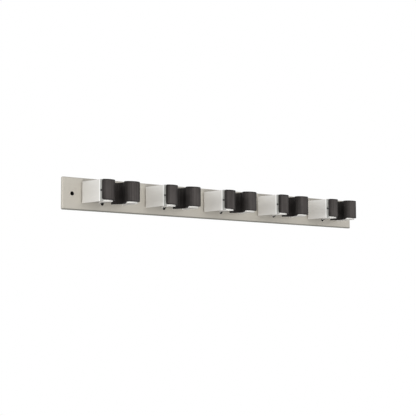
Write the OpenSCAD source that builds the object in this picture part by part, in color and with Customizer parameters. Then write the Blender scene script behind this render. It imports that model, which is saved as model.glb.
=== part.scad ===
// Wall rack for long-handled tools: a flat rail with a row of sprung clips.
// Frame: X along the rail, -Y out from the wall, Z up.
// The origin is the middle of the rail's back face, on the wall.

/* [Rail] */
// Length of the rail
rail_l = 500; // [460:5:800]
// Number of clips along the rail
clip_count = 5; // [2:1:5]
// Distance from the last clip's middle to the rail's end
end_margin = 58; // [56:1:70]
// Height of the rail
rail_h = 40; // [38:1:60]
// Thickness of the rail
rail_t = 3; // [2.5:0.1:5]
// Radius of the rounding along the rail's front edges
rail_edge_r = 1.2; // [0.4:0.1:2]
// Radius of the rail's four corners, seen from the front
rail_corner_r = 2; // [1:0.5:5]

/* [Wall screw holes] */
// Diameter of the hole at each end of the rail
end_hole_d = 5; // [4:0.1:6]
// Distance from the rail's end to the end hole's middle
end_hole_inset = 14; // [10:0.5:20]
// Diameter of the hole under each clip
low_hole_d = 4.2; // [3:0.1:5]
// Distance of those holes below the rail's middle line
low_hole_drop = 10; // [9.5:0.5:14]

/* [Clip] */
// Height of the spring leaves
clip_h = 26.5; // [22:0.5:30]
// Height of the clip's middle above the rail's middle line
clip_rise = 2.1; // [1.5:0.1:5]
// Distance from the rail's front face to the front of the lips
clip_depth = 44; // [40:0.5:52]
// Width across the outside of both arms at the rail
foot_span = 61.5; // [58:0.5:64]
// Width across the outside of both arms at their front end
front_span = 55.6; // [51:0.2:58]
// Gap between the two lips
mouth_w = 15.4; // [11:0.2:18]
// Diameter of the round grip between the jaws
grip_d = 27; // [24:0.5:29]
// Angle by which each jaw springs open
jaw_open = 12; // [6:1:14]

/* [Spring leaf] */
// Thickness of the spring leaf
leaf_t = 1.2; // [0.8:0.1:1.6]
// Radius of the leaf's middle line at the foot bend
foot_r = 1.6; // [1.4:0.1:2.4]
// Radius of the leaf's middle line at the bend from arm to lip
bend_r = 4.6; // [3.6:0.1:5]
// Radius of the leaf's middle line along the lip's crowned front
lip_r = 11; // [10:0.5:16]
// Radius of the leaf's middle line at the lip's nose
nose_r = 1.6; // [1.2:0.1:2.5]
// Angle round the grip at which a leaf ends, short of the grip's back
leaf_end_angle = 26; // [25:1:34]

/* [Rubber] */
// Thickness of the rubber on the jaws
pad_t = 2.8; // [2:0.1:3]
// Angle by which a pad reaches round the outer bend, past the lip
pad_wrap_angle = 5; // [3:1:8]
// Height of leaf that stays bare below the pad on a lip
pad_bare_h = 1.6; // [0.5:0.1:3]
// Least thickness of the pad at the grip's back
back_pad_t = 2.8; // [2.5:0.1:3]
// Width of the pad at the grip's back
back_pad_w = 10; // [8:0.2:10.4]
// Rise of the back pad's edges above its middle
back_pad_rise = 2.4; // [1:0.1:2.6]
// Height of the back pad
back_pad_h = 19; // [16:0.5:19.5]

/* [Base strap] */
// Height of the strap that carries a clip
base_h = 16; // [12:0.5:18]
// Width across the outside of the strap's raised middle
hat_w = 18; // [16:0.5:20]
// Thickness of the strap
base_t = 1.2; // [1:0.1:1.6]
// Radius of the strap's middle line in its bends
base_bend_r = 1.6; // [1:0.1:1.7]

/* [Rivets] */
// Shank diameter of the rivets through the rail
rivet_d = 4; // [3:0.1:5]
// Head diameter of those rivets
rivet_head_d = 8; // [6.5:0.1:9]
// Head height of those rivets
rivet_head_h = 1.8; // [1:0.1:2.5]
// Depth of the flush tail in the rail's back face
rivet_sink = 1.2; // [0.8:0.1:1.5]
// Shank diameter of the small rivet in a leaf's outer bend
pin_d = 1.6; // [1.2:0.1:1.8]
// Head diameter of the small rivet
pin_head_d = 2.4; // [2.2:0.1:2.6]
// Height of both heads of the small rivet
pin_head_h = 0.7; // [0.4:0.1:1]
// Angle on the outer bend from a pad's end to the small rivet's middle
pin_gap_angle = 16; // [15:1:24]
// Diameter of the moulded stud that holds the back pad
stud_d = 5; // [4:0.1:6]
// Diameter of that stud's knob behind the strap
knob_d = 7.4; // [6.5:0.1:8]
// Height of that knob
knob_h = 1.6; // [1:0.1:2]

/* [Hidden] */
$fn = 96;
// Radial play of a rivet or stud in its hole
hole_play = 0.08;
// Glue line between rubber and metal
bond_gap = 0.06;
// Running gap between a jaw's foot and the rail
foot_gap = 0.3;
// Angle that stays free between foot and strap when a jaw is fully open
foot_spare_angle = 7;
// How far a cutting tool runs past a face
overrun = 1;
// How far a flat may lie inside the true curve of a spring leaf
flat_sag = 0.01;
// Long stretches of a strip are this much thinner on each face than its bends
seam_step = 0.02;
// How far the long stretches run into the bends
seam_lap = 0.15;

clip_pitch = (rail_l - 2 * end_margin) / (clip_count - 1);
pad_out = leaf_t / 2 + pad_t;
leaf_front = clip_depth - pad_out;
grip_r = grip_d / 2;
wall_r = grip_r + pad_out;

// Middles of the leaf's bends, seen from above, for a left jaw: [across, out from the rail]
foot_c = [-foot_span / 2 + foot_r + leaf_t / 2, foot_gap + foot_r + leaf_t / 2];
nose_x = -mouth_w / 2 - pad_out - nose_r;
bend_x = -front_span / 2 + bend_r + leaf_t / 2;
lip_angle = asin((nose_x - bend_x) / (2 * lip_r - nose_r - bend_r));
lip_c = [nose_x - (lip_r - nose_r) * sin(lip_angle), leaf_front - lip_r];
nose_c = lip_c + (lip_r - nose_r) * [sin(lip_angle), cos(lip_angle)];
bend_c = lip_c + (lip_r - bend_r) * [-sin(lip_angle), cos(lip_angle)];
grip_c = [0, nose_c.y - sqrt(pow(nose_r + wall_r, 2) - pow(nose_x, 2))];

// The arm is the straight line that touches the foot bend and the outer bend
arm = bend_c - foot_c;
arm_heading = atan2(arm.y, arm.x) - asin((foot_r - bend_r) / norm(arm));

// Angles on the bends, counted from the +X side
foot_angles = [90 + arm_heading, 270 - jaw_open - foot_spare_angle];
bend_angles = [90 + lip_angle, 90 + arm_heading];
lip_angles = [90 - lip_angle, 90 + lip_angle];
nose_angles = [atan2(grip_c.y - nose_c.y, grip_c.x - nose_c.x), 90 - lip_angle];
wall_angles = [180 + nose_angles[0], 270 - leaf_end_angle];
pad_bend_angles = [90 + lip_angle, 90 + lip_angle + pad_wrap_angle];
pin_angle = pad_bend_angles[1] + pin_gap_angle;

// Radii of a pad's back face and front face on an outer bend
function pad_radii(r) = [r + leaf_t / 2 + bond_gap, r + pad_out];

// Points along an arc; a start of 1 leaves out the first, which the arc before it has
function arc(centre, r, angles, start = 0) =
    let (steps = ceil(abs(angles[1] - angles[0]) / (2 * acos(1 - flat_sag / r))))
    [for (i = [start : steps])
        let (a = angles[0] + (angles[1] - angles[0]) * i / steps) centre + r * [cos(a), sin(a)]];

// One face of the spring leaf, from the foot to the grip, at a distance outside its middle line
function leaf_face(d) = concat(
    arc(foot_c, foot_r + d, reverse(foot_angles)),
    arc(bend_c, bend_r + d, reverse(bend_angles)),
    arc(lip_c, lip_r + d, reverse(lip_angles), 1),
    arc(nose_c, nose_r + d, reverse(nose_angles), 1),
    arc(grip_c, wall_r - d, wall_angles, 1));
function reverse(list) = [for (i = [1 : len(list)]) list[len(list) - i]];

function clip_x(n) = (n - (clip_count + 1) / 2) * clip_pitch;

// Radial places of a small rivet's heads, outside and inside the outer bend
pin_out = bend_r + leaf_t / 2 + hole_play;
pin_in = sqrt(pow(bend_r - leaf_t / 2, 2) - pow(pin_head_d / 2, 2)) - hole_play;

// Base strap and back pad
grip_back = grip_c.y - grip_r;
hat_front = grip_back - back_pad_t;
hat_leg_x = hat_w / 2 - base_t / 2;
rivet_x = (-foot_c.x + hat_leg_x + base_bend_r) / 2;
rivet_tail_d = rivet_d + 2 * rivet_sink;

RAIL_COLOUR = [0.70, 0.68, 0.64];
LEAF_COLOUR = [0.80, 0.79, 0.77];
RUBBER_COLOUR = [0.16, 0.15, 0.15];
RIVET_COLOUR = [0.55, 0.55, 0.54];
PIN_COLOUR = [0.22, 0.22, 0.22];

// Places a clip's pieces: children are drawn from above, with +Y out from the rail
module at_clip(n) {
    translate([clip_x(n), -rail_t, clip_rise]) mirror([0, 1, 0]) children();
}

// Turns a left jaw's piece into a right jaw's piece
module on_right() {
    mirror([1, 0, 0]) children();
}

// A bend of strip: radii and angles are [low, high]
module bend(centre, radii, angles, h) {
    translate([centre.x, centre.y, -h / 2])
        rotate([0, 0, angles[0]])
            rotate_extrude(angle = angles[1] - angles[0])
                translate([radii[0], 0]) square([radii[1] - radii[0], h]);
}

// A long curved stretch between two bends
module curved_run(centre, radii, angles, h) {
    lap_angle = seam_lap / radii[1] * 180 / PI;
    bend(centre, radii + seam_step * [1, -1], angles + lap_angle * [-1, 1], h);
}

// A straight stretch between two bends, from one point of its middle line to another
module straight_run(from, to, t, h) {
    run = to - from;
    translate([from.x, from.y, -h / 2])
        rotate([0, 0, atan2(run.y, run.x)])
            translate([-seam_lap, seam_step - t / 2, 0])
                cube([norm(run) + 2 * seam_lap, t - 2 * seam_step, h]);
}

// Strip outline whose two front edges are rounded; the wall side is at zero
module front_rounded(w, t, r) {
    translate([-w / 2, r - t]) square([w, t - r]);
    translate([r - w / 2, -t]) square([w - 2 * r, t]);
    for (side = [-1, 1]) translate([side * (w / 2 - r), r - t]) circle(r);
}

module rounded_rectangle(w, h, r) {
    square([w, h - 2 * r], center = true);
    square([w - 2 * r, h], center = true);
    for (x = [-1, 1], y = [-1, 1]) translate([x * (w / 2 - r), y * (h / 2 - r)]) circle(r);
}

// A hole through the rail, square to the wall
module rail_hole(x, z, d) {
    translate([x, overrun, z]) rotate([90, 0, 0]) cylinder(d = d, h = rail_t + 2 * overrun);
}

// A hole for a rivet, sunk on the wall side so that the tail lies flush
module rivet_hole(x, z) {
    rail_hole(x, z, rivet_d + 2 * hole_play);
    translate([x, 0, z]) rotate([90, 0, 0])
        cylinder(d1 = rivet_tail_d + 2 * hole_play, d2 = rivet_d + 2 * hole_play, h = rivet_sink);
}

module rail_plate() {
    color(RAIL_COLOUR) difference() {
        intersection() {
            rotate([90, 0, 0]) linear_extrude(rail_t) rounded_rectangle(rail_l, rail_h, rail_corner_r);
            translate([0, 0, -rail_h / 2]) linear_extrude(rail_h)
                front_rounded(rail_l, rail_t, rail_edge_r);
            translate([rail_l / 2, 0, 0]) rotate([0, -90, 0]) linear_extrude(rail_l)
                front_rounded(rail_h, rail_t, rail_edge_r);
        }
        for (side = [-1, 1]) rail_hole(side * (rail_l / 2 - end_hole_inset), 0, end_hole_d);
        for (n = [1 : clip_count]) {
            rail_hole(clip_x(n), -low_hole_drop, low_hole_d);
            for (side = [-1, 1]) rivet_hole(clip_x(n) + side * rivet_x, clip_rise);
        }
    }
}

// Half of the bent strap: flange on the rail, leg, and half of the raised middle
module base_half() {
    low_c = [-hat_leg_x - base_bend_r, base_t / 2 + base_bend_r];
    high_c = [base_bend_r - hat_leg_x, hat_front - base_t / 2 - base_bend_r];
    radii = [base_bend_r - base_t / 2, base_bend_r + base_t / 2];
    straight_run([foot_c.x + foot_gap, base_t / 2], [low_c.x, base_t / 2], base_t, base_h);
    bend(low_c, radii, [270, 360], base_h);
    straight_run([-hat_leg_x, low_c.y], [-hat_leg_x, high_c.y], base_t, base_h);
    bend(high_c, radii, [90, 180], base_h);
    straight_run([high_c.x, hat_front - base_t / 2], [0, hat_front - base_t / 2], base_t, base_h);
}

module base() {
    color(LEAF_COLOUR) difference() {
        union() {
            base_half();
            on_right() base_half();
        }
        for (side = [-1, 1]) translate([side * rivet_x, -overrun, 0]) rotate([-90, 0, 0])
            cylinder(d = rivet_d + 2 * hole_play, h = base_t + 2 * overrun);
        translate([0, hat_front - base_t - overrun, 0]) rotate([-90, 0, 0])
            cylinder(d = stud_d + 2 * hole_play, h = base_t + 2 * overrun);
    }
}

// Rubber cushion at the grip's back, with its moulded stud through the strap
module back_pad() {
    knob_top = hat_front - base_t - bond_gap;
    color(RUBBER_COLOUR) {
        difference() {
            translate([-back_pad_w / 2, hat_front + bond_gap, -back_pad_h / 2])
                cube([back_pad_w, back_pad_t + back_pad_rise - bond_gap, back_pad_h]);
            translate([grip_c.x, grip_c.y, -back_pad_h / 2 - overrun])
                cylinder(r = grip_r, h = back_pad_h + 2 * overrun);
        }
        translate([0, knob_top - knob_h / 2, 0]) rotate([-90, 0, 0])
            cylinder(d = stud_d, h = hat_front + back_pad_t / 2 - knob_top + knob_h / 2);
        translate([0, knob_top - knob_h, 0]) rotate([-90, 0, 0])
            cylinder(d1 = stud_d, d2 = knob_d, h = knob_h);
    }
}

// One rivet, turned from its outline: flush tail, shank and domed head
module rivet() {
    shank_top = base_t + hole_play;
    dome_r = (pow(rivet_head_d / 2, 2) + pow(rivet_head_h, 2)) / (2 * rivet_head_h);
    rotate([-90, 0, 0]) {
        translate([0, 0, -rail_t]) cylinder(d1 = rivet_tail_d, d2 = rivet_d, h = rivet_sink);
        translate([0, 0, -rail_t]) cylinder(d = rivet_d, h = rail_t + shank_top + rivet_head_h / 2);
        translate([0, 0, shank_top]) intersection() {
            translate([0, 0, rivet_head_h - dome_r]) sphere(dome_r);
            cylinder(d = rivet_head_d, h = rivet_head_h);
        }
    }
}

module rivets() {
    color(RIVET_COLOUR) for (side = [-1, 1]) translate([side * rivet_x, 0, 0]) rivet();
}

// A cylinder across the outer bend, along the radius where the small rivet sits
module across_bend(from, to, d) {
    translate([bend_c.x, bend_c.y, 0]) rotate([0, 0, pin_angle]) translate([from, 0, 0])
        rotate([0, 90, 0]) cylinder(d = d, h = to - from);
}

// Spring leaf of a left jaw: foot bend, arm, crowned lip, nose and the wall round the grip
module jaw() {
    color(LEAF_COLOUR) difference() {
        translate([0, 0, -clip_h / 2]) linear_extrude(clip_h)
            polygon(concat(leaf_face(leaf_t / 2), reverse(leaf_face(-leaf_t / 2))));
        across_bend(0, bend_r + leaf_t, pin_d + 2 * hole_play);
    }
}

// Rubber pad of a left jaw: over the lip, round the nose and along the grip
module pad() {
    color(RUBBER_COLOUR) {
        translate([0, 0, pad_bare_h / 2]) {
            bend(bend_c, pad_radii(bend_r), pad_bend_angles, clip_h - pad_bare_h);
            curved_run(lip_c, pad_radii(lip_r), lip_angles, clip_h - pad_bare_h);
        }
        bend(nose_c, pad_radii(nose_r), nose_angles, clip_h);
        curved_run(grip_c, [grip_r, grip_r + pad_t - bond_gap], wall_angles, clip_h);
    }
}

// Small rivet in the leaf's outer bend, next to the pad's end
module pin() {
    color(PIN_COLOUR) {
        across_bend(pin_in - pin_head_h, pin_in, pin_head_d);
        across_bend(pin_in - pin_head_h / 2, pin_out + pin_head_h / 2, pin_d);
        across_bend(pin_out, pin_out + pin_head_h, pin_head_d);
    }
}

rail_plate();
for (n = [1 : clip_count]) {
    at_clip(n) base();
    at_clip(n) back_pad();
    at_clip(n) rivets();
    at_clip(n) jaw();
    at_clip(n) pad();
    at_clip(n) pin();
    at_clip(n) on_right() jaw();
    at_clip(n) on_right() pad();
    at_clip(n) on_right() pin();
}
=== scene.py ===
"""Wall rack with sprung clips: soft edges, finishes, light and camera."""
import math

import bmesh
import bpy
from mathutils import Matrix, Vector


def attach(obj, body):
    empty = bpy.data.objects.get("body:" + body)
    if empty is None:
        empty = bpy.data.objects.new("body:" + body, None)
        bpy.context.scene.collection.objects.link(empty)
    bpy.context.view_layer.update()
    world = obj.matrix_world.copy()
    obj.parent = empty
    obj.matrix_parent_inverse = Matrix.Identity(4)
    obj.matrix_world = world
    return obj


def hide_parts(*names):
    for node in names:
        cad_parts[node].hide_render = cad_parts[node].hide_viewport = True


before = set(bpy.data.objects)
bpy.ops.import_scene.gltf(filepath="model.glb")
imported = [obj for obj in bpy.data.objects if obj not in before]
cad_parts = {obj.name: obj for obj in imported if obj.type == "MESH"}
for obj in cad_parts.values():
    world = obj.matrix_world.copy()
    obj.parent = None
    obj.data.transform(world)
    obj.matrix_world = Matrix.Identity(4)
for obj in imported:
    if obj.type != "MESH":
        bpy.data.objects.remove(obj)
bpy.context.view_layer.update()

MM = 0.001

# Rail and clips, as in the part's source
CLIP_COUNT = 5
CLIP_PITCH = 96 * MM
RAIL_L = 500 * MM
RAIL_H = 40 * MM
RAIL_T = 3 * MM
CLIP_H = 26.5 * MM
CLIP_RISE = 2.1 * MM
CLIP_DEPTH = 44 * MM
FOOT_SPAN = 61.5 * MM
FRONT_SPAN = 55.6 * MM
MOUTH_W = 15.4 * MM
GRIP_R = 13.5 * MM
JAW_OPEN = 12

# Spring leaf
LEAF_T = 1.2 * MM
FOOT_R = 1.6 * MM
BEND_R = 4.6 * MM
LIP_R = 11 * MM
NOSE_R = 1.6 * MM
LEAF_END_ANGLE = 26
FOOT_GAP = 0.3 * MM
FOOT_SPARE_ANGLE = 7
LEAF_EDGE_R = 0.16 * MM
LEAF_EDGE_STEPS = 2
FOOT_CORNER_R = 2.2 * MM
FOOT_STEPS = 12
BEND_STEPS = 14
LIP_STEPS = 14
NOSE_STEPS = 16
WALL_STEPS = 20

# Rubber
PAD_T = 2.8 * MM
BOND_GAP = 0.06 * MM
PAD_WRAP_ANGLE = 5
PAD_BARE_H = 1.6 * MM
PAD_EDGE_R = 0.7 * MM
RUBBER_EDGE_STEPS = 3
PAD_CORNER_R = 2.2 * MM
PAD_WRAP_STEPS = 2
PAD_LIP_STEPS = 30
PAD_NOSE_STEPS = 24
BACK_PAD_T = 2.8 * MM
BACK_PAD_W = 10 * MM
BACK_PAD_RISE = 2.4 * MM
BACK_PAD_H = 19 * MM
BACK_PAD_EDGE_R = 0.5 * MM
STUD_D = 5 * MM
KNOB_D = 7.4 * MM
KNOB_H = 1.6 * MM
STUD_SINK = BACK_PAD_T / 3
GRIP_SIDES = 128

# Base strap and the small rivets in the leaves
BASE_H = 16 * MM
BASE_T = 1.2 * MM
BASE_BEND_R = 1.6 * MM
BASE_BEND_STEPS = 8
HAT_W = 18 * MM
RIVET_D = 4 * MM
PIN_D = 1.6 * MM
PIN_HEAD_D = 2.4 * MM
PIN_HEAD_H = 0.7 * MM
PIN_DOME = 0.8 * PIN_HEAD_H
PIN_DOME_STEPS = 4
PIN_EDGE_R = 0.08 * MM
PIN_SIDES = 32
PIN_GAP_ANGLE = 16
HOLE_PLAY = 0.08 * MM
ROUND_SIDES = 48

# Screw holes through the rail
END_HOLE_R = 2.5 * MM
END_HOLE_INSET = 14 * MM
LOW_HOLE_R = 2.1 * MM
LOW_HOLE_DROP = 10 * MM

# Middles of the bends of a left jaw, seen from above: (across, out from the rail)
PAD_OUT = LEAF_T / 2 + PAD_T
WALL_R = GRIP_R + PAD_OUT
FOOT_C = Vector((-FOOT_SPAN / 2 + FOOT_R + LEAF_T / 2, FOOT_GAP + FOOT_R + LEAF_T / 2))
NOSE_X = -MOUTH_W / 2 - PAD_OUT - NOSE_R
BEND_X = -FRONT_SPAN / 2 + BEND_R + LEAF_T / 2
LIP_ANGLE = math.degrees(math.asin((NOSE_X - BEND_X) / (2 * LIP_R - NOSE_R - BEND_R)))


def round_from(centre, radius, degrees):
    """The point on a circle at an angle counted from the +X side."""
    turn = math.radians(degrees)
    return centre + radius * Vector((math.cos(turn), math.sin(turn)))


def heading_of(run):
    return math.degrees(math.atan2(run.y, run.x))


LIP_C = Vector((NOSE_X - (LIP_R - NOSE_R) * math.sin(math.radians(LIP_ANGLE)),
                CLIP_DEPTH - PAD_OUT - LIP_R))
NOSE_C = round_from(LIP_C, LIP_R - NOSE_R, 90 - LIP_ANGLE)
BEND_C = round_from(LIP_C, LIP_R - BEND_R, 90 + LIP_ANGLE)
GRIP_C = Vector((0, NOSE_C.y - math.sqrt((NOSE_R + WALL_R) ** 2 - NOSE_X ** 2)))
ARM = BEND_C - FOOT_C
ARM_HEADING = heading_of(ARM) - math.degrees(math.asin((FOOT_R - BEND_R) / ARM.length))
NOSE_LOW_ANGLE = heading_of(GRIP_C - NOSE_C)
NOSE_TURN = NOSE_LOW_ANGLE - 90 + LIP_ANGLE
WALL_ANGLES = (180 + NOSE_LOW_ANGLE, 270 - LEAF_END_ANGLE)
PAD_END_ANGLE = 90 + LIP_ANGLE + PAD_WRAP_ANGLE
PIN_ANGLE = PAD_END_ANGLE + PIN_GAP_ANGLE
HAT_FRONT = GRIP_C.y - GRIP_R - BACK_PAD_T
HAT_LEG_X = HAT_W / 2 - BASE_T / 2
RIVET_X = (HAT_LEG_X + BASE_BEND_R - FOOT_C.x) / 2


def clip_x(n):
    return (n - (CLIP_COUNT + 1) / 2) * CLIP_PITCH


def at(plan, height=CLIP_RISE):
    """The place in the row frame of a point seen from above, for a clip in the rail's middle."""
    return Vector((plan.x, -RAIL_T - plan.y, height))


def plan_of(vert):
    """A vertex seen from above, for a clip in the rail's middle."""
    return Vector((vert.co.x, -RAIL_T - vert.co.y))


# Modelling helpers

MERGE_GAP = 0.001 * MM
NEAR = 0.01 * MM
FACING = 0.9
CREASE_ANGLE = math.radians(50)
SMOOTH_ANGLE = math.radians(40)


def select_only(piece):
    bpy.ops.object.select_all(action="DESELECT")
    piece.select_set(True)
    bpy.context.view_layer.objects.active = piece


def pick(piece, kind, wanted):
    """In edit mode, selects only the faces, edges or vertices for which wanted is true."""
    bpy.ops.mesh.select_mode(type=kind)
    bpy.ops.mesh.select_all(action="DESELECT")
    mesh = bmesh.from_edit_mesh(piece.data)
    for element in {"VERT": mesh.verts, "EDGE": mesh.edges, "FACE": mesh.faces}[kind]:
        element.select_set(bool(wanted(element)))
    bmesh.update_edit_mesh(piece.data)


def point_outwards(piece):
    select_only(piece)
    bpy.ops.object.mode_set(mode="EDIT")
    bpy.ops.mesh.select_all(action="SELECT")
    bpy.ops.mesh.remove_doubles(threshold=MERGE_GAP)
    bpy.ops.mesh.normals_make_consistent(inside=False)
    bpy.ops.object.mode_set(mode="OBJECT")


def smooth(piece):
    point_outwards(piece)
    bpy.ops.object.shade_smooth_by_angle(angle=SMOOTH_ANGLE)


def start_from(primitive, name, **settings):
    """Adds a primitive to shape a piece from, with its place and size in its mesh."""
    bpy.ops.object.select_all(action="DESELECT")
    primitive(**settings)
    piece = bpy.context.object
    piece.name = piece.data.name = name
    bpy.ops.object.transform_apply(location=True, rotation=True, scale=True)
    return piece


def apply_modifier(piece, kind, **settings):
    select_only(piece)
    modifier = piece.modifiers.new(kind.lower(), kind)
    for name, value in settings.items():
        setattr(modifier, name, value)
    bpy.ops.object.modifier_apply(modifier=modifier.name)


def combine(piece, operation, other):
    """Joins another shape to a piece, or cuts it out of the piece, and uses it up."""
    apply_modifier(piece, "BOOLEAN", operation=operation, solver="EXACT", object=other)
    bpy.data.objects.remove(other)


def soften(piece, radius, segments):
    """Rounds the sharp edges of a finished shape and smooths the rest."""
    apply_modifier(piece, "BEVEL", width=radius, segments=segments, limit_method="ANGLE",
                   angle_limit=CREASE_ANGLE)
    smooth(piece)


def run_strip(name, height, start, path):
    """An upright sheet that follows a path seen from above.

    Each stretch is ("to", point) for a straight one or ("round", centre, angle, steps) for a bend.
    """
    piece = start_from(bpy.ops.mesh.primitive_plane_add, name, size=height,
                       location=at(start) + Vector((height / 2, 0, 0)),
                       rotation=(math.pi / 2, 0, 0))
    bpy.ops.object.mode_set(mode="EDIT")
    pick(piece, "VERT", lambda vert: vert.co.x > at(start).x + height / 2)
    bpy.ops.mesh.delete(type="VERT")
    bpy.ops.mesh.select_all(action="SELECT")
    last = start
    for stretch in path:
        if stretch[0] == "to":
            bpy.ops.mesh.extrude_region_move(
                TRANSFORM_OT_translate={"value": at(stretch[1]) - at(last)})
            last = stretch[1]
        else:
            centre, angle, steps = stretch[1:]
            bpy.ops.mesh.spin(steps=steps, angle=math.radians(angle), center=at(centre),
                              axis=(0, 0, 1))
            last = centre + Matrix.Rotation(math.radians(angle), 2) @ (last - centre)
    bpy.ops.object.mode_set(mode="OBJECT")
    return piece


def round_corners(sheet, radius, end):
    """Rounds the two corners at the end of an upright sheet whose path starts there."""
    for vert in sheet.data.vertices:
        run = (plan_of(vert) - end).length
        if run < radius:
            drop = radius - math.sqrt(radius ** 2 - (radius - run) ** 2)
            vert.co.z -= math.copysign(drop, vert.co.z - CLIP_RISE)


def thicken(piece, thickness):
    point_outwards(piece)
    apply_modifier(piece, "SOLIDIFY", thickness=thickness, offset=0, use_even_offset=True)


def drill(piece, plan, diameter):
    """Cuts a round hole straight out from the rail, with a little play round what goes through it."""
    bit = start_from(bpy.ops.mesh.primitive_cylinder_add, "drill_bit", vertices=ROUND_SIDES,
                     radius=diameter / 2 + HOLE_PLAY, depth=4 * BASE_T, location=at(plan),
                     rotation=(math.pi / 2, 0, 0))
    combine(piece, "DIFFERENCE", bit)
    smooth(piece)


# Pieces of one clip, modelled at the rail's middle

def model_leaf():
    """The spring leaf of a left jaw, from its foot bend round to the grip."""
    foot_end = 270 - JAW_OPEN - FOOT_SPARE_ANGLE
    leaf = run_strip("leaf", CLIP_H, round_from(FOOT_C, FOOT_R, foot_end), [
        ("round", FOOT_C, 90 + ARM_HEADING - foot_end, FOOT_STEPS),
        ("to", round_from(BEND_C, BEND_R, 90 + ARM_HEADING)),
        ("round", BEND_C, LIP_ANGLE - ARM_HEADING, BEND_STEPS),
        ("round", LIP_C, -2 * LIP_ANGLE, LIP_STEPS),
        ("round", NOSE_C, NOSE_TURN, NOSE_STEPS),
        ("round", GRIP_C, WALL_ANGLES[1] - WALL_ANGLES[0], WALL_STEPS)])
    round_corners(leaf, FOOT_CORNER_R, round_from(FOOT_C, FOOT_R, foot_end))
    thicken(leaf, LEAF_T)
    soften(leaf, LEAF_EDGE_R, LEAF_EDGE_STEPS)
    note_bend_run(leaf)
    return leaf


BEND_SPAN = 60
OFF_BEND = -1


def note_bend_run(leaf):
    """Keeps, for the finish, how far each point lies from the bend's start, along the arm."""
    along_arm = (round_from(FOOT_C, FOOT_R, 90 + ARM_HEADING)
                 - round_from(BEND_C, BEND_R, 90 + ARM_HEADING)).normalized()
    run = leaf.data.attributes.new("bend_run", "FLOAT", "POINT")
    for vert in leaf.data.vertices:
        spoke = plan_of(vert) - BEND_C
        turn = heading_of(spoke) % 360 - 90 - ARM_HEADING
        past_arm = spoke.dot(along_arm)
        on_bend = -BEND_SPAN < turn < 0 and abs(spoke.length - BEND_R) < LEAF_T
        on_arm = past_arm >= 0 and plan_of(vert).x < BEND_C.x - BEND_R / 2
        run.data[vert.index].value = (past_arm if on_arm else BEND_R * math.radians(turn) if on_bend
                                      else OFF_BEND)


def model_pad():
    """The rubber over a left jaw's lip, nose and grip wall.

    On the lip it stops short of the leaf's lower edge; round the nose it widens to the full height.
    """
    thickness = PAD_T - BOND_GAP
    outer_r = BEND_R + LEAF_T / 2 + BOND_GAP + thickness / 2
    start = round_from(BEND_C, outer_r, PAD_END_ANGLE)
    pad = run_strip("pad", CLIP_H, start, [
        ("round", BEND_C, -PAD_WRAP_ANGLE, PAD_WRAP_STEPS),
        ("round", LIP_C, -2 * LIP_ANGLE, PAD_LIP_STEPS),
        ("round", NOSE_C, NOSE_TURN, PAD_NOSE_STEPS),
        ("round", GRIP_C, WALL_ANGLES[1] - WALL_ANGLES[0], WALL_STEPS)])
    nose_r = NOSE_R + LEAF_T / 2 + BOND_GAP + thickness / 2
    for vert in pad.data.vertices:
        if vert.co.z > CLIP_RISE:
            continue
        spoke = plan_of(vert) - NOSE_C
        on_nose = abs(spoke.length - nose_r) < NEAR
        done = (heading_of(spoke) - 90 + LIP_ANGLE) / NOSE_TURN if on_nose else 0
        on_wall = abs((plan_of(vert) - GRIP_C).length - GRIP_R - thickness / 2) < NEAR
        bare = 0 if on_wall else (1 + math.cos(math.pi * min(max(done, 0), 1))) / 2
        vert.co.z += bare * PAD_BARE_H
    round_corners(pad, PAD_CORNER_R, start)
    thicken(pad, thickness)
    soften(pad, PAD_EDGE_R, RUBBER_EDGE_STEPS)
    run = pad.data.attributes.new("pad_run", "FLOAT", "POINT")
    for vert in pad.data.vertices:
        run.data[vert.index].value = (plan_of(vert) - start).length
    return pad


def model_pin():
    """The small rivet in the leaf's outer bend, with a domed head."""
    shank_end = BEND_R + LEAF_T / 2 + HOLE_PLAY
    inner_end = math.sqrt((BEND_R - LEAF_T / 2) ** 2 - (PIN_HEAD_D / 2) ** 2) - HOLE_PLAY
    pin = start_from(bpy.ops.mesh.primitive_cylinder_add, "pin", vertices=PIN_SIDES,
                     radius=PIN_HEAD_D / 2, depth=PIN_HEAD_H,
                     location=(0, 0, inner_end - PIN_HEAD_H / 2))
    bpy.ops.object.mode_set(mode="EDIT")
    pick(pin, "FACE", lambda face: face.normal.z > FACING)
    bpy.ops.mesh.inset(thickness=(PIN_HEAD_D - PIN_D) / 2)
    bpy.ops.mesh.extrude_region_move(TRANSFORM_OT_translate={"value": (0, 0, shank_end - inner_end)})
    bpy.ops.mesh.extrude_region_move(TRANSFORM_OT_translate={"value": (0, 0, 0)})
    bpy.ops.transform.resize(value=(PIN_HEAD_D / PIN_D, PIN_HEAD_D / PIN_D, 1))
    bpy.ops.mesh.extrude_region_move(TRANSFORM_OT_translate={"value": (0, 0, PIN_HEAD_H)})
    pick(pin, "EDGE", lambda edge: all(vert.co.z > shank_end + PIN_HEAD_H / 2 for vert in edge.verts))
    bpy.ops.mesh.bevel(offset=PIN_DOME, segments=PIN_DOME_STEPS)
    bpy.ops.object.mode_set(mode="OBJECT")
    pin.rotation_euler = (0, math.pi / 2, -math.radians(PIN_ANGLE))
    pin.location = at(BEND_C)
    select_only(pin)
    bpy.ops.object.transform_apply(location=True, rotation=True, scale=True)
    soften(pin, PIN_EDGE_R, 1)
    return pin


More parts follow.
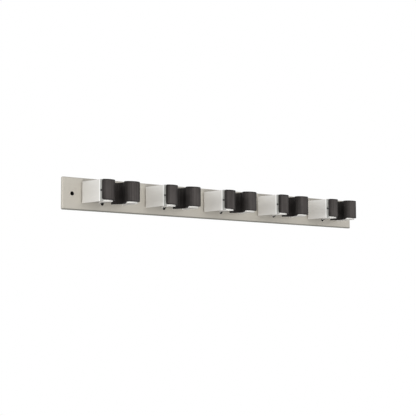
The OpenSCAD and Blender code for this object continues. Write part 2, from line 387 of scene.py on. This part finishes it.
def model_strap():
    """The bent strap that carries a clip, raised in its middle."""
    mid = BASE_T / 2
    low_y = mid + BASE_BEND_R
    high_y = HAT_FRONT - mid - BASE_BEND_R
    path = []
    for side in (-1, 1):
        low_c = Vector((side * (HAT_LEG_X + BASE_BEND_R), low_y))
        high_c = Vector((side * (HAT_LEG_X - BASE_BEND_R), high_y))
        low_bend = ("round", low_c, 90, BASE_BEND_STEPS)
        high_bend = ("round", high_c, -90, BASE_BEND_STEPS)
        if side < 0:
            path += [("to", Vector((low_c.x, mid))), low_bend,
                     ("to", Vector((side * HAT_LEG_X, high_y))), high_bend]
        else:
            path += [("to", Vector((high_c.x, HAT_FRONT - mid))), high_bend,
                     ("to", Vector((side * HAT_LEG_X, low_y))), low_bend]
    flange_end = FOOT_C.x + FOOT_GAP
    path.append(("to", Vector((-flange_end, mid))))
    strap = run_strip("strap", BASE_H, Vector((flange_end, mid)), path)
    thicken(strap, BASE_T)
    soften(strap, LEAF_EDGE_R, LEAF_EDGE_STEPS)
    for side in (-1, 1):
        drill(strap, Vector((side * RIVET_X, mid)), RIVET_D)
    drill(strap, Vector((0, HAT_FRONT - mid)), STUD_D)
    return strap


def model_cushion():
    """The rubber at the back of the grip, hollowed to the grip's round, with its moulded stud."""
    back = HAT_FRONT + BOND_GAP
    front = HAT_FRONT + BACK_PAD_T + BACK_PAD_RISE
    cushion = start_from(bpy.ops.mesh.primitive_cube_add, "cushion", size=1,
                         location=at(Vector((0, (back + front) / 2))),
                         scale=(BACK_PAD_W, front - back, BACK_PAD_H))
    grip = start_from(bpy.ops.mesh.primitive_cylinder_add, "grip", vertices=GRIP_SIDES,
                      radius=GRIP_R, depth=2 * BACK_PAD_H, location=at(GRIP_C))
    combine(cushion, "DIFFERENCE", grip)
    soften(cushion, BACK_PAD_EDGE_R, RUBBER_EDGE_STEPS)
    combine(cushion, "UNION", model_stud(back))
    smooth(cushion)
    return cushion


def model_stud(back):
    """The stud that runs from a cushion's back through the strap, with a flared knob behind it."""
    knob_top = HAT_FRONT - BASE_T - BOND_GAP
    stud = start_from(bpy.ops.mesh.primitive_cylinder_add, "stud", vertices=ROUND_SIDES,
                      radius=STUD_D / 2, depth=KNOB_H, rotation=(math.pi / 2, 0, 0),
                      location=at(Vector((0, knob_top - KNOB_H / 2))))
    bpy.ops.object.mode_set(mode="EDIT")
    pick(stud, "FACE", lambda face: face.normal.y < -FACING)
    bpy.ops.transform.resize(value=(KNOB_D / STUD_D, 1, KNOB_D / STUD_D))
    bpy.ops.mesh.inset(thickness=(KNOB_D - STUD_D) / 2)
    bpy.ops.mesh.extrude_region_move(
        TRANSFORM_OT_translate={"value": (0, knob_top - back - STUD_SINK, 0)})
    bpy.ops.object.mode_set(mode="OBJECT")
    return stud


def copy_to(master, name, x, mirrored):
    """A copy of a clip's piece, with its own mesh, at a clip's place along the rail."""
    select_only(master)
    bpy.ops.object.duplicate(linked=False)
    piece = bpy.context.object
    piece.name = piece.data.name = name
    piece.scale.x = -1 if mirrored else 1
    piece.location.x = x
    bpy.ops.object.transform_apply(location=True, rotation=True, scale=True)
    if mirrored:
        point_outwards(piece)
    return piece


# Finishes

class Value:
    """An output in a finish's nodes, with the sums the finishes use."""

    def __init__(self, tree, socket):
        self.tree, self.socket = tree, socket

    def sum(self, operation, first, second):
        node = self.tree.nodes.new("ShaderNodeMath")
        node.operation = operation
        for slot, value in zip(node.inputs, (first, second)):
            if isinstance(value, Value):
                self.tree.links.new(value.socket, slot)
            else:
                slot.default_value = value
        return Value(self.tree, node.outputs[0])

    def __add__(self, other):
        return self.sum("ADD", self, other)

    def __sub__(self, other):
        return self.sum("SUBTRACT", self, other)

    def __rsub__(self, other):
        return self.sum("SUBTRACT", other, self)

    def __mul__(self, other):
        return self.sum("MULTIPLY", self, other)

    def __abs__(self):
        return self.sum("ABSOLUTE", self, 0)

    __radd__ = __add__
    __rmul__ = __mul__


class Finish:
    """A material and its node tree."""

    def __init__(self, name, **constants):
        self.material = bpy.data.materials.new(name)
        self.material.use_nodes = True
        self.tree = self.material.node_tree
        self.shader = self.tree.nodes["Principled BSDF"]
        self.set(**constants)

    def set(self, **sockets):
        self.fill(self.shader, sockets)

    def fill(self, node, sockets):
        for name, value in sockets.items():
            slot = next(s for s in node.inputs
                        if s.enabled and s.name.replace(" ", "_").lower() == name)
            if isinstance(value, Value):
                self.tree.links.new(value.socket, slot)
            else:
                slot.default_value = value

    def node(self, kind, output, settings=None, **sockets):
        """Adds a node: its settings come first, then its sockets' values or links."""
        node = self.tree.nodes.new("ShaderNode" + kind)
        for name, value in (settings or {}).items():
            setattr(node, name, value)
        self.fill(node, sockets)
        return Value(self.tree, next(s for s in node.outputs if s.enabled and s.name == output))

    def place(self):
        return self.node("TexCoord", "Object")

    def noise(self, stretch, detail):
        """Noise whose grains are 1 / stretch metres along each axis."""
        where = self.node("Mapping", "Vector", vector=self.place(), scale=stretch)
        return self.node("TexNoise", "Fac", vector=where, scale=1.0, detail=detail)

    def step(self, value, low, high):
        """Smoothly from 0 at low to 1 at high."""
        return self.node("MapRange", "Result", {"interpolation_type": "SMOOTHSTEP"}, value=value,
                         from_min=low, from_max=high)

    def mix(self, amount, first, second):
        return self.node("Mix", "Result", {"data_type": "RGBA"}, factor=amount, a=first, b=second)

    def attribute(self, name):
        return self.node("Attribute", "Fac", {"attribute_name": name})

    def axis(self, name):
        return self.node("SeparateXYZ", name, vector=self.place())

    def bump(self, height, strength, distance):
        self.set(normal=self.node("Bump", "Normal", height=height, strength=strength,
                                  distance=distance))


NOISE_MEAN = 0.5

# Satin metal: how far grain and patches change the tone and the gloss
PATCH_STRETCH = (35, 35, 35)
GRAIN_DETAIL, PATCH_DETAIL = 4.0, 3.0
GRAIN_TONE, PATCH_TONE = 0.55, 0.45
GRAIN_GLOSS, PATCH_GLOSS = 0.16, 0.12
GRAIN_BUMP, GRAIN_DEPTH = 0.25, 0.03 * MM


def metal(name, dark, light, roughness, metallic, grain_stretch, marks=()):
    """Satin metal: fine grain along one direction, slow patches, and painted shade and highlights.

    A mark is a function that gives its mask and the painted colour that shows there.
    """
    finish = Finish(name, metallic=metallic)
    grain = finish.noise(grain_stretch, GRAIN_DETAIL)
    patches = finish.noise(PATCH_STRETCH, PATCH_DETAIL)
    colour = finish.mix(GRAIN_TONE * grain + PATCH_TONE * patches, (*dark, 1), (*light, 1))
    # Each mark paints shade or a highlight into the colour
    for mark in marks:
        mask, painted_tone = mark(finish)
        colour = finish.mix(mask, colour, painted_tone)
    finish.set(base_color=colour,
               roughness=(roughness + GRAIN_GLOSS * (grain - NOISE_MEAN)
                          + PATCH_GLOSS * (patches - NOISE_MEAN)))
    finish.bump(grain, GRAIN_BUMP, GRAIN_DEPTH)
    return finish.material


# Painted shade and highlights on the metals: where each begins and is full, how strong it is, and its
# colour
LOW_EDGE, LOW_EDGE_SHARE = (2.0 * MM, 0.9 * MM), 0.9
HIGH_EDGE, HIGH_EDGE_SHARE = (1.3 * MM, 0.3 * MM), 0.25
EDGE_SHADE = (0.15, 0.15, 0.13, 1)
BORE_FADE = (0.12 * MM, 0.02 * MM)
BORE_SHADE = (0.02, 0.02, 0.02, 1)
BEND_IN, BEND_OUT, BEND_SHARE = (-6 * MM, -5 * MM), (-0.5 * MM, -1.1 * MM), 0.75
BEND_SHADE = (0.2, 0.206, 0.192, 1)
LINE_IN, LINE_OUT, LINE_SHARE = (-0.9 * MM, -0.2 * MM), (1.3 * MM, 0.3 * MM), 0.85
LINE_HIGHLIGHT = (0.95, 0.95, 0.93, 1)


def rail_edge_shade(finish):
    """Painted shade along the rail's lower edge, and a fainter dark line along its upper edge."""
    height = finish.axis("Z")
    low = finish.step(0 - height, *(RAIL_H / 2 - inset for inset in LOW_EDGE))
    high = finish.step(height, *(RAIL_H / 2 - inset for inset in HIGH_EDGE))
    return LOW_EDGE_SHARE * low + HIGH_EDGE_SHARE * high, EDGE_SHADE


def shaded_bores(finish):
    """The screw holes' walls, painted dark as the shade inside the bores."""
    x, z = finish.axis("X"), finish.axis("Z")
    to_end = abs(x) - (RAIL_L / 2 - END_HOLE_INSET)
    to_clip = x.sum("PINGPONG", x, CLIP_PITCH / 2)
    below = z + LOW_HOLE_DROP
    mask = 0
    for across, up, radius in ((to_end, z, END_HOLE_R), (to_clip, below, LOW_HOLE_R)):
        off = x.sum("SQRT", across * across + up * up, 0)
        mask = mask + finish.step(off, *(radius + outside for outside in BORE_FADE))
    return mask, BORE_SHADE


def bend_painted_shade(finish):
    """The outer bend, painted darker: a painted dim reflection."""
    run = finish.attribute("bend_run")
    return BEND_SHARE * finish.step(run, *BEND_IN) * finish.step(run, *BEND_OUT), BEND_SHADE


def arm_line_highlight(finish):
    """A painted highlight along the line where the arm begins."""
    run = finish.attribute("bend_run")
    return LINE_SHARE * finish.step(run, *LINE_IN) * finish.step(run, *LINE_OUT), LINE_HIGHLIGHT


# Painted shade on the rubber: where each begins and is full, and how dark it is
CUSHION_RIM, CUSHION_RIM_SHADE, CUSHION_SHADE = (1.2 * MM, 0), 0.3, 0.35
PAD_HIGH, PAD_HIGH_SHADE = (1.7 * MM, 0.5 * MM), 0.45
PAD_LOW, PAD_LOW_SHADE = (1.5 * MM, 0.4 * MM), 0.4
PAD_END, PAD_END_SHADE = (6.5 * MM, 0.8 * MM), 0.5
PAD_INWARD, PAD_INWARD_SHADE = (12 * MM, 19 * MM), 0.46


def cushion_painted_shade(finish):
    """A cushion's painted shade: darker at its upper and lower edges, and darker all over, deep in the
    grip.
    """
    edge = finish.step(abs(finish.axis("Z") - CLIP_RISE),
                       *(BACK_PAD_H / 2 - inset for inset in CUSHION_RIM))
    return [(edge, CUSHION_RIM_SHADE), (1.0, CUSHION_SHADE)]


def pad_painted_shade(finish):
    """A lip pad's painted shade: along its edges, at its outer end, and from the nose on into the grip.
    """
    height = finish.axis("Z") - CLIP_RISE
    high = finish.step(height, *(CLIP_H / 2 - inset for inset in PAD_HIGH))
    low = finish.step(0 - height, *(CLIP_H / 2 - PAD_BARE_H - inset for inset in PAD_LOW))
    run = finish.attribute("pad_run")
    end = finish.step(run, *PAD_END)
    inward = finish.step(run, *PAD_INWARD)
    return [(high, PAD_HIGH_SHADE), (low, PAD_LOW_SHADE), (end, PAD_END_SHADE),
            (inward, PAD_INWARD_SHADE)]


# Rubber: its grains' stretches, and how far they change the tone, the gloss and the surface
SPECKLE_STRETCH, SPECKLE_DETAIL = (2600, 2600, 2600), 2.0
BLOOM_STRETCH, BLOOM_DETAIL = (70, 70, 45), 4.0
DRAWN_STRETCH, DRAWN_DETAIL = (480, 480, 9), 3.0
SPECKLE_TONE, BLOOM_TONE, DRAWN_TONE = 0.35, 0.65, 0.7
RUBBER_ROUGHNESS, SPECKLE_GLOSS, BLOOM_GLOSS = 0.58, 0.14, 0.16
DRAWN_HEIGHT, RUBBER_BUMP, RUBBER_DEPTH = 0.8, 0.3, 0.05 * MM
RUBBER_DARK, RUBBER_LIGHT = (0.017, 0.015, 0.014, 1), (0.1, 0.09, 0.086, 1)


def rubber(name, marks):
    """Matt extruded rubber: fine speckle, upright drawn lines and faint bloom, with painted shade on
    its edges and in the grip.
    """
    finish = Finish(name, metallic=0.0, specular_ior_level=0.09)
    speckle = finish.noise(SPECKLE_STRETCH, SPECKLE_DETAIL)
    bloom = finish.noise(BLOOM_STRETCH, BLOOM_DETAIL)
    drawn = finish.noise(DRAWN_STRETCH, DRAWN_DETAIL)
    tone = SPECKLE_TONE * speckle + BLOOM_TONE * bloom + DRAWN_TONE * (drawn - NOISE_MEAN)
    # Each mark paints shade into the tone
    for mask, painted_tone in marks(finish):
        tone = tone - painted_tone * mask
    finish.set(base_color=finish.mix(tone, RUBBER_DARK, RUBBER_LIGHT),
               roughness=(RUBBER_ROUGHNESS + SPECKLE_GLOSS * (speckle - NOISE_MEAN)
                          + BLOOM_GLOSS * (bloom - NOISE_MEAN)))
    finish.bump(speckle + DRAWN_HEIGHT * drawn, RUBBER_BUMP, RUBBER_DEPTH)
    return finish.material


RAIL_METAL = metal("satin_rail", dark=(0.43, 0.406, 0.358), light=(0.525, 0.495, 0.44),
                   roughness=0.48, metallic=0.45, grain_stretch=(30, 2200, 2200),
                   marks=(rail_edge_shade, shaded_bores))
LEAF_METAL = metal("satin_leaf", dark=(0.64, 0.625, 0.595), light=(0.76, 0.745, 0.715),
                   roughness=0.46, metallic=0.4, grain_stretch=(60, 60, 2200),
                   marks=(bend_painted_shade, arm_line_highlight))
STRAP_METAL = metal("satin_strap", dark=(0.48, 0.47, 0.45), light=(0.62, 0.61, 0.58),
                    roughness=0.45, metallic=0.6, grain_stretch=(60, 60, 1800))
RIVET_METAL = metal("rivet_metal", dark=(0.44, 0.43, 0.41), light=(0.58, 0.57, 0.55),
                    roughness=0.40, metallic=0.8, grain_stretch=(900, 900, 900))
PIN_METAL = metal("black_pin", dark=(0.020, 0.020, 0.020), light=(0.06, 0.06, 0.06),
                  roughness=0.45, metallic=0.5, grain_stretch=(900, 900, 900))
PAD_RUBBER = rubber("charcoal_rubber", pad_painted_shade)
CUSHION_RUBBER = rubber("cushion_rubber", cushion_painted_shade)


def dress(piece, material):
    piece.data.materials.clear()
    piece.data.materials.append(material)


def fit(piece, material, body, node):
    """A finished piece takes a CAD node's place and moves with its body."""
    dress(piece, material)
    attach(piece, body)
    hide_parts(node)


# The clips along the rail
masters = {
    "leaf": (model_leaf(), LEAF_METAL, "leaf_metal", "jaw"),
    "rubber": (model_pad(), PAD_RUBBER, "rubber_pad", "pad"),
    "pin_rivet": (model_pin(), PIN_METAL, "pin_metal", "pin")}
strap_master, cushion_master = model_strap(), model_cushion()
for n in range(1, CLIP_COUNT + 1):
    x = clip_x(n)
    clip = f"clip_{n}"
    fit(copy_to(strap_master, f"{clip}_strap", x, False), STRAP_METAL, "rack",
        f"{clip}_base")
    fit(copy_to(cushion_master, f"{clip}_cushion", x, False), CUSHION_RUBBER, "rack",
        f"{clip}_back_pad")
    for side in ("left", "right"):
        for name, (master, material, slot, node) in masters.items():
            fit(copy_to(master, f"{clip}_{side}_{name}", x, side == "right"), material,
                f"{clip}_{side}", f"{clip}_{side}_{node}")
    dress(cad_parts[f"{clip}_rivets"], RIVET_METAL)
for master in [strap_master, cushion_master] + [kind[0] for kind in masters.values()]:
    bpy.data.objects.remove(master)
dress(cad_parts["rail_plate"], RAIL_METAL)


# Floor, light and camera

WHITE = (1, 1, 1, 1)
FLOOR_GREY = (0.86, 0.86, 0.86, 1)
FLOOR_DROP = 2.6
FLOOR_WHITE = 0.9
FLOOR_FADE = (1.0, 4.5)
FLOOR_SIZE = 12.0
WALL_GAP = 0.2 * MM
# Dark discs behind the rail's holes stand for the shadow seen through them
HOLE_SHADOW_MARGIN = 0.8 * MM
HOLE_SHADOW_SIDES = 32
HOLE_SHADOW_DARK = (0.004, 0.004, 0.004, 1)
WORLD_SOFT = 0.38

# Each lamp's name, place and size in metres, and power in watts
LAMPS = (("key_lamp", (-2.0, -5.6, 2.2), 5.5, 115),
         ("side_lamp", (-6.8, -1.4, 1.2), 5.6, 215),
         ("low_lamp", (-1.0, -2.7, -1.35), 2.1, 64))

# The photograph's view: its angles in degrees, distance, focal length over frame width, and aim
VIEW_AZIMUTH, VIEW_ELEVATION, VIEW_ROLL = -39.65, -5.4, -0.2
VIEW_DISTANCE = 1.527
VIEW_FOCAL_SHARE = 1150 / 416
VIEW_AIM = Vector((-22.5 * MM, -RAIL_T, -5.4 * MM))
SENSOR_W = 36


def lay_floor():
    """A pale floor, nearly white, which keeps a little of the rack's shadow and fades out far off."""
    bpy.ops.object.select_all(action="DESELECT")
    bpy.ops.mesh.primitive_plane_add(size=FLOOR_SIZE, location=(0, 0, -FLOOR_DROP))
    floor = bpy.context.object
    floor.name = "floor"
    finish = Finish("pale_floor", base_color=FLOOR_GREY, roughness=0.9)
    far = finish.step(finish.node("VectorMath", "Value", {"operation": "LENGTH"},
                                  vector=finish.place()), *FLOOR_FADE)
    seen = (FLOOR_WHITE + (1 - FLOOR_WHITE) * far) * (
        finish.node("LightPath", "Is Camera Ray") + finish.node("LightPath", "Is Glossy Ray")
        + finish.node("LightPath", "Is Transmission Ray"))
    white = finish.node("Emission", "Emission", color=WHITE, strength=1.0)
    shown = finish.tree.nodes.new("ShaderNodeMixShader")
    finish.tree.links.new(seen.socket, shown.inputs[0])
    finish.tree.links.new(finish.shader.outputs[0], shown.inputs[1])
    finish.tree.links.new(white.socket, shown.inputs[2])
    finish.tree.links.new(shown.outputs[0], finish.tree.nodes["Material Output"].inputs["Surface"])
    dress(floor, finish.material)


def lay_hole_shadows():
    """Dark discs just behind the rail's holes: painted shadow that shows through them."""
    ends = [((side * (RAIL_L / 2 - END_HOLE_INSET), 0), END_HOLE_R) for side in (-1, 1)]
    lows = [((clip_x(n), -LOW_HOLE_DROP), LOW_HOLE_R) for n in range(1, CLIP_COUNT + 1)]
    finish = Finish("wall_hole", base_color=HOLE_SHADOW_DARK, roughness=0.9, specular_ior_level=0.0)
    for (x, z), radius in ends + lows:
        bpy.ops.object.select_all(action="DESELECT")
        bpy.ops.mesh.primitive_circle_add(vertices=HOLE_SHADOW_SIDES, radius=radius + HOLE_SHADOW_MARGIN,
                                          fill_type="NGON", location=(x, WALL_GAP, z),
                                          rotation=(math.pi / 2, 0, 0))
        hole = bpy.context.object
        hole.name = "wall_hole"
        dress(hole, finish.material)


def light_world():
    """Soft light from all round; the camera and reflections see plain white."""
    world = bpy.data.worlds.new("studio")
    bpy.context.scene.world = world
    world.use_nodes = True
    nodes, links = world.node_tree.nodes, world.node_tree.links
    path = nodes.new("ShaderNodeLightPath")
    soft = nodes["Background"]
    white = nodes.new("ShaderNodeBackground")
    for light, strength in ((soft, WORLD_SOFT), (white, 1.0)):
        light.inputs["Color"].default_value = WHITE
        light.inputs["Strength"].default_value = strength
    seen = (Value(world.node_tree, path.outputs["Is Camera Ray"])
            + Value(world.node_tree, path.outputs["Is Glossy Ray"])
            + Value(world.node_tree, path.outputs["Is Transmission Ray"]))
    shown = nodes.new("ShaderNodeMixShader")
    links.new(seen.socket, shown.inputs[0])
    links.new(soft.outputs[0], shown.inputs[1])
    links.new(white.outputs[0], shown.inputs[2])
    links.new(shown.outputs[0], nodes["World Output"].inputs["Surface"])


def hang_lamp(name, place, size, power):
    lamp = bpy.data.lights.new(name, "AREA")
    lamp.shape = "SQUARE"
    lamp.size = size
    lamp.energy = power
    holder = bpy.data.objects.new(name, lamp)
    holder.location = place
    holder.visible_glossy = False
    holder.rotation_mode = "QUATERNION"
    holder.rotation_quaternion = (-Vector(place)).to_track_quat("-Z", "Y")
    bpy.context.scene.collection.objects.link(holder)


def set_camera():
    """The photograph's view: from the left, a little below the rail."""
    azimuth, elevation, roll = (math.radians(angle) for angle in
                                (VIEW_AZIMUTH, VIEW_ELEVATION, VIEW_ROLL))
    back = Vector((math.sin(azimuth) * math.cos(elevation), -math.cos(azimuth) * math.cos(elevation),
                   math.sin(elevation)))
    camera = bpy.data.objects.new("camera", bpy.data.cameras.new("camera"))
    camera.data.sensor_width = SENSOR_W
    camera.data.lens = VIEW_FOCAL_SHARE * SENSOR_W
    camera.data.clip_start, camera.data.clip_end = 0.01, 100
    camera.rotation_mode = "QUATERNION"
    camera.rotation_quaternion = ((-back).to_track_quat("-Z", "Y")
                                  @ Matrix.Rotation(roll, 3, "Z").to_quaternion())
    camera.location = VIEW_AIM + back * VIEW_DISTANCE
    bpy.context.scene.collection.objects.link(camera)
    bpy.context.scene.camera = camera


lay_floor()
lay_hole_shadows()
light_world()
for lamp_facts in LAMPS:
    hang_lamp(*lamp_facts)
set_camera()
bpy.context.scene.view_settings.view_transform = "Standard"
